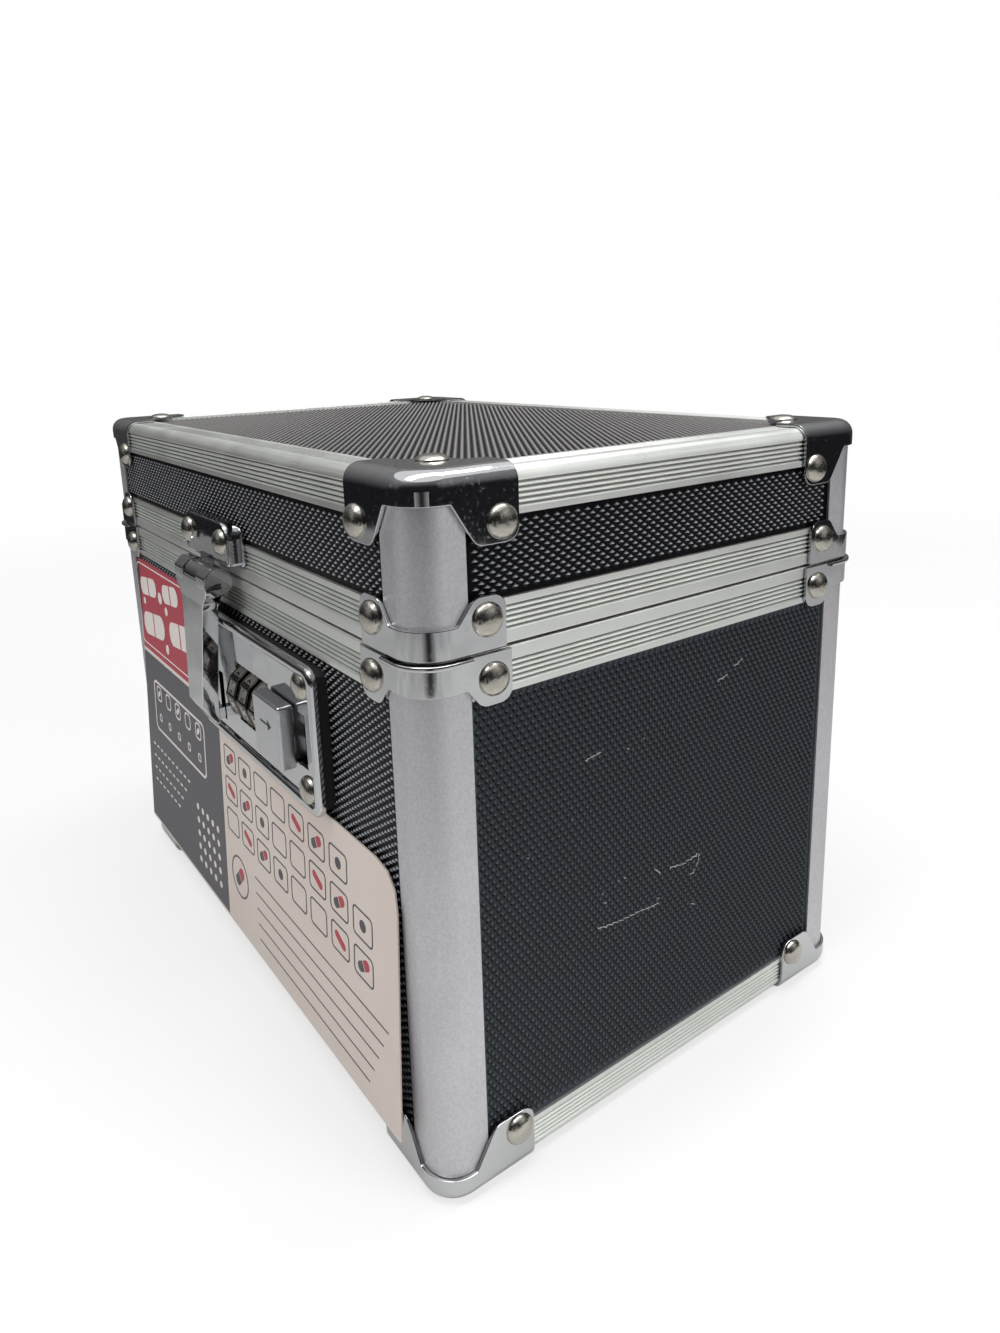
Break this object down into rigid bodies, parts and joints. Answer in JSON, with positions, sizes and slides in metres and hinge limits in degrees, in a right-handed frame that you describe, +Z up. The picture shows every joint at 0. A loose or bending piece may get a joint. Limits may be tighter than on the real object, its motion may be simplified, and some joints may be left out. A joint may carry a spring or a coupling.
{
  "type": "medication lock box",
  "caption": "Rectangular lock box for medicines with a hinged lid, ridged metal rails, corner caps, a hasp and a latch with turning dials and a sliding release button.",
  "frame": {"origin": "middle of the whole outline seen from above, on the surface that the box stands on", "axes": "+Z up, the lock and the hasp face -Y, +X to the right of someone who looks at the lock"},
  "size_m": [0.225, 0.1616, 0.1718],
  "materials": {
    "satin_aluminium": "satin, with fine ridges along the rails",
    "chrome": "polished",
    "textured_board": "fibreboard with a black pebbled covering",
    "black_rubber": "matte",
    "lining_foam": "soft lining sheet",
    "steel": "bare",
    "printed_card": "printed card"
  },
  "bodies": {
    "body": {"base_cap_back_left": "chrome", "base_cap_back_right": "chrome", "base_cap_front_left": "chrome", "base_cap_front_right": "chrome", "base_frame": "satin_aluminium", "base_panel": "textured_board", "body_back_panel": "textured_board", "body_front_panel": "textured_board", "body_left_panel": "textured_board", "body_lining": "lining_foam", "body_post_back_left": "satin_aluminium", "body_post_back_right": "satin_aluminium", "body_post_front_left": "satin_aluminium", "body_post_front_right": "satin_aluminium", "body_right_panel": "textured_board", "body_rim_cap_back_left": "chrome", "body_rim_cap_back_right": "chrome", "body_rim_cap_front_left": "chrome", "body_rim_cap_front_right": "chrome", "body_rim_frame": "satin_aluminium", "dial_axle": "steel", "hinge_body_leaf_left": "chrome", "hinge_body_leaf_right": "chrome", "hinge_pin_left": "steel", "hinge_pin_right": "steel", "label_card": "printed_card", "lock_back_cover": "steel", "lock_gasket": "black_rubber", "lock_plate": "chrome", "release_spring": "steel"},
    "lid": {"hasp_pin": "steel", "hinge_lid_leaf_left": "chrome", "hinge_lid_leaf_right": "chrome", "lid_back_panel": "textured_board", "lid_bracket": "chrome", "lid_front_panel": "textured_board", "lid_left_panel": "textured_board", "lid_lining": "lining_foam", "lid_post_back_left": "satin_aluminium", "lid_post_back_right": "satin_aluminium", "lid_post_front_left": "satin_aluminium", "lid_post_front_right": "satin_aluminium", "lid_right_panel": "textured_board", "lid_rim_cap_back_left": "chrome", "lid_rim_cap_back_right": "chrome", "lid_rim_cap_front_left": "chrome", "lid_rim_cap_front_right": "chrome", "lid_rim_frame": "satin_aluminium", "top_cap_back_left": "chrome", "top_cap_back_right": "chrome", "top_cap_front_left": "chrome", "top_cap_front_right": "chrome", "top_frame": "satin_aluminium", "top_panel": "textured_board"},
    "hasp": {"hasp": "chrome"},
    "dial_left": {"dial_left": "chrome"},
    "dial_middle": {"dial_middle": "chrome"},
    "dial_right": {"dial_right": "chrome"},
    "release": {"release_button": "chrome", "latch_bolt": "steel"}
  },
  "joints": [
    {"name": "lid_hinge", "type": "hinge", "parent": "body", "child": "lid", "pos_m": [0, 0.07855, 0.1314], "axis": [-1, 0, 0], "range_deg": [0, 100]},
    {"name": "hasp_pivot", "type": "hinge", "parent": "lid", "child": "hasp", "pos_m": [0, -0.07495, 0.1308], "axis": [-1, 0, 0], "range_deg": [0, 100]},
    {"name": "dial_left_spin", "type": "hinge", "parent": "body", "child": "dial_left", "pos_m": [0.0172, -0.06755, 0.0989], "axis": [1, 0, 0], "continuous": true},
    {"name": "dial_middle_spin", "type": "hinge", "parent": "body", "child": "dial_middle", "pos_m": [0.0254, -0.06755, 0.0989], "axis": [1, 0, 0], "continuous": true},
    {"name": "dial_right_spin", "type": "hinge", "parent": "body", "child": "dial_right", "pos_m": [0.0336, -0.06755, 0.0989], "axis": [1, 0, 0], "continuous": true},
    {"name": "release_slide", "type": "slide", "parent": "body", "child": "release", "axis": [1, 0, 0], "range_m": [0, 0.005], "stiffness_N_per_m": 400, "springref_m": -0.0015, "deforming": ["release_spring"]}
  ]
}
